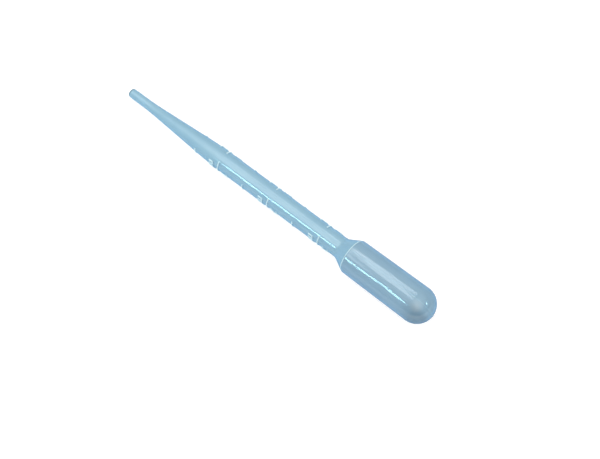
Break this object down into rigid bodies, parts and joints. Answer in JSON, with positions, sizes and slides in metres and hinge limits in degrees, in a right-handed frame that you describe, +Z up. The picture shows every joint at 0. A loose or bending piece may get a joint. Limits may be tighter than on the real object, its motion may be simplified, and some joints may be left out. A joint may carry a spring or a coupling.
{
  "type": "graduated transfer pipette",
  "caption": "Translucent plastic transfer pipette with a thin dropping tip, a graduated stem and a soft squeeze bulb.",
  "frame": {"origin": "middle of the tip's outlet", "axes": "+X along the pipette from the tip to the bulb, +Z up with the mould's parting plane in XZ, the scales on +Y and -Y"},
  "size_m": [0.155, 0.0148, 0.015],
  "materials": {
    "tip_plastic": "satin",
    "stem_plastic": "satin",
    "bulb_plastic": "satin",
    "seam_plastic": "satin",
    "mark_plastic": "satin"
  },
  "bodies": {
    "moulding": {"bulb_collar": "bulb_plastic", "bulb_dome": "bulb_plastic", "bulb_rail_lower": "bulb_plastic", "bulb_rail_upper": "bulb_plastic", "bulb_seam_lower": "seam_plastic", "bulb_seam_upper": "seam_plastic", "dropping_tip": "tip_plastic", "graduation_line_0_5_left": "mark_plastic", "graduation_line_0_5_right": "mark_plastic", "graduation_line_1_0_left": "mark_plastic", "graduation_line_1_0_right": "mark_plastic", "graduation_line_1_5_left": "mark_plastic", "graduation_line_1_5_right": "mark_plastic", "graduation_line_2_0_left": "mark_plastic", "graduation_line_2_0_right": "mark_plastic", "graduation_line_2_5_left": "mark_plastic", "graduation_line_2_5_right": "mark_plastic", "graduation_line_3_0_left": "mark_plastic", "graduation_line_3_0_right": "mark_plastic", "numeral_1_left": "mark_plastic", "numeral_1_right": "mark_plastic", "numeral_2_left": "mark_plastic", "numeral_2_right": "mark_plastic", "numeral_3_left": "mark_plastic", "numeral_3_right": "mark_plastic", "pinch_off_nub": "bulb_plastic", "stem_barrel": "stem_plastic", "stem_seam_lower": "seam_plastic", "stem_seam_upper": "seam_plastic", "stem_shoulder": "stem_plastic", "tip_taper": "tip_plastic", "unit_mark_1_left": "mark_plastic", "unit_mark_1_right": "mark_plastic", "unit_mark_2_left": "mark_plastic", "unit_mark_2_right": "mark_plastic", "unit_mark_3_left": "mark_plastic", "unit_mark_3_right": "mark_plastic"},
    "left_wall": {"squeeze_wall_left": "bulb_plastic"},
    "right_wall": {"squeeze_wall_right": "bulb_plastic"}
  },
  "joints": [
    {"name": "squeeze_left", "type": "slide", "parent": "moulding", "child": "left_wall", "axis": [0, -1, 0], "range_m": [0, 0.004], "stiffness_N_per_m": 600},
    {"name": "squeeze_right", "type": "slide", "parent": "moulding", "child": "right_wall", "axis": [0, 1, 0], "range_m": [0, 0.004], "stiffness_N_per_m": 600}
  ],
  "couplings": [
    {"joint": "squeeze_right", "follows": "squeeze_left", "ratio": 1}
  ]
}
